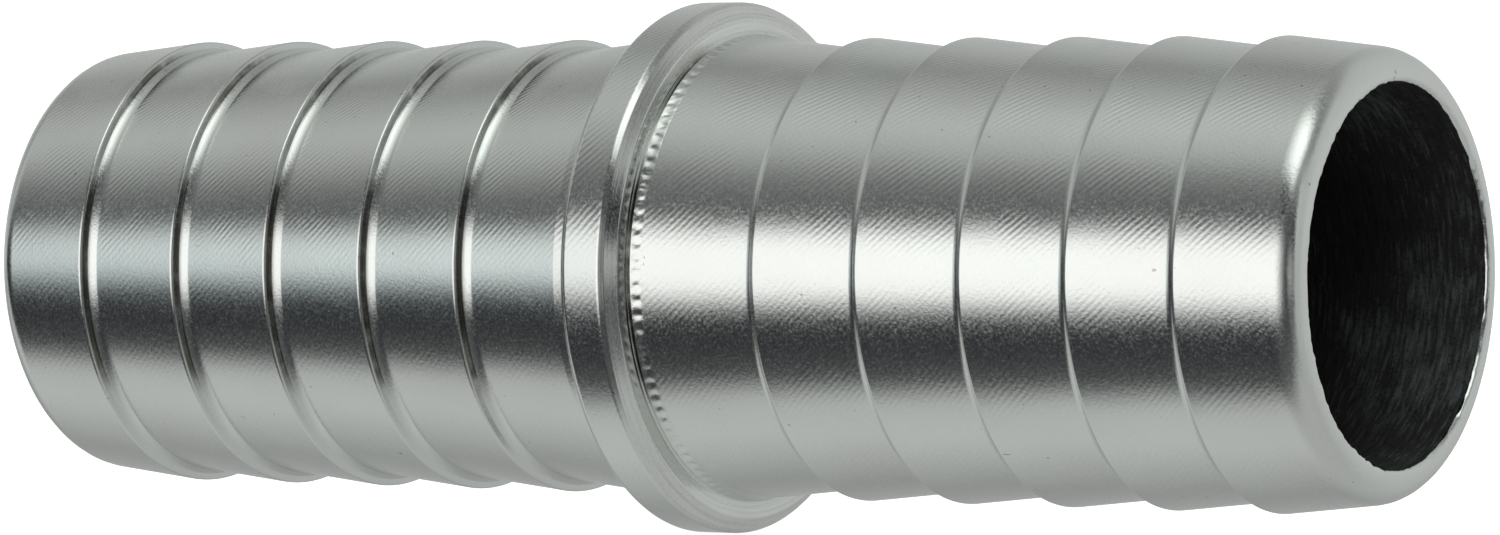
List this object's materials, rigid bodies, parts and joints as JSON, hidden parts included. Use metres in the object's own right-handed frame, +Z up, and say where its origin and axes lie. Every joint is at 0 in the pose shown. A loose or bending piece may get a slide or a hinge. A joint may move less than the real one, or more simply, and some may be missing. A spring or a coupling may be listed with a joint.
{
  "type": "barbed hose connector",
  "caption": "Straight turned metal hose connector with barbed tails at both ends, a thin central collar and a plain through bore.",
  "frame": {"origin": "on the bore axis, half way along the collar, which is the middle of the part", "axes": "+X along the bore; the part is round about X, and +Z is up when it lies on its side"},
  "size_m": [0.045, 0.0158, 0.0158],
  "materials": {
    "zinc_plated_steel": "satin"
  },
  "bodies": {
    "root": {"barbed_joiner_body": "zinc_plated_steel"}
  },
  "joints": []
}
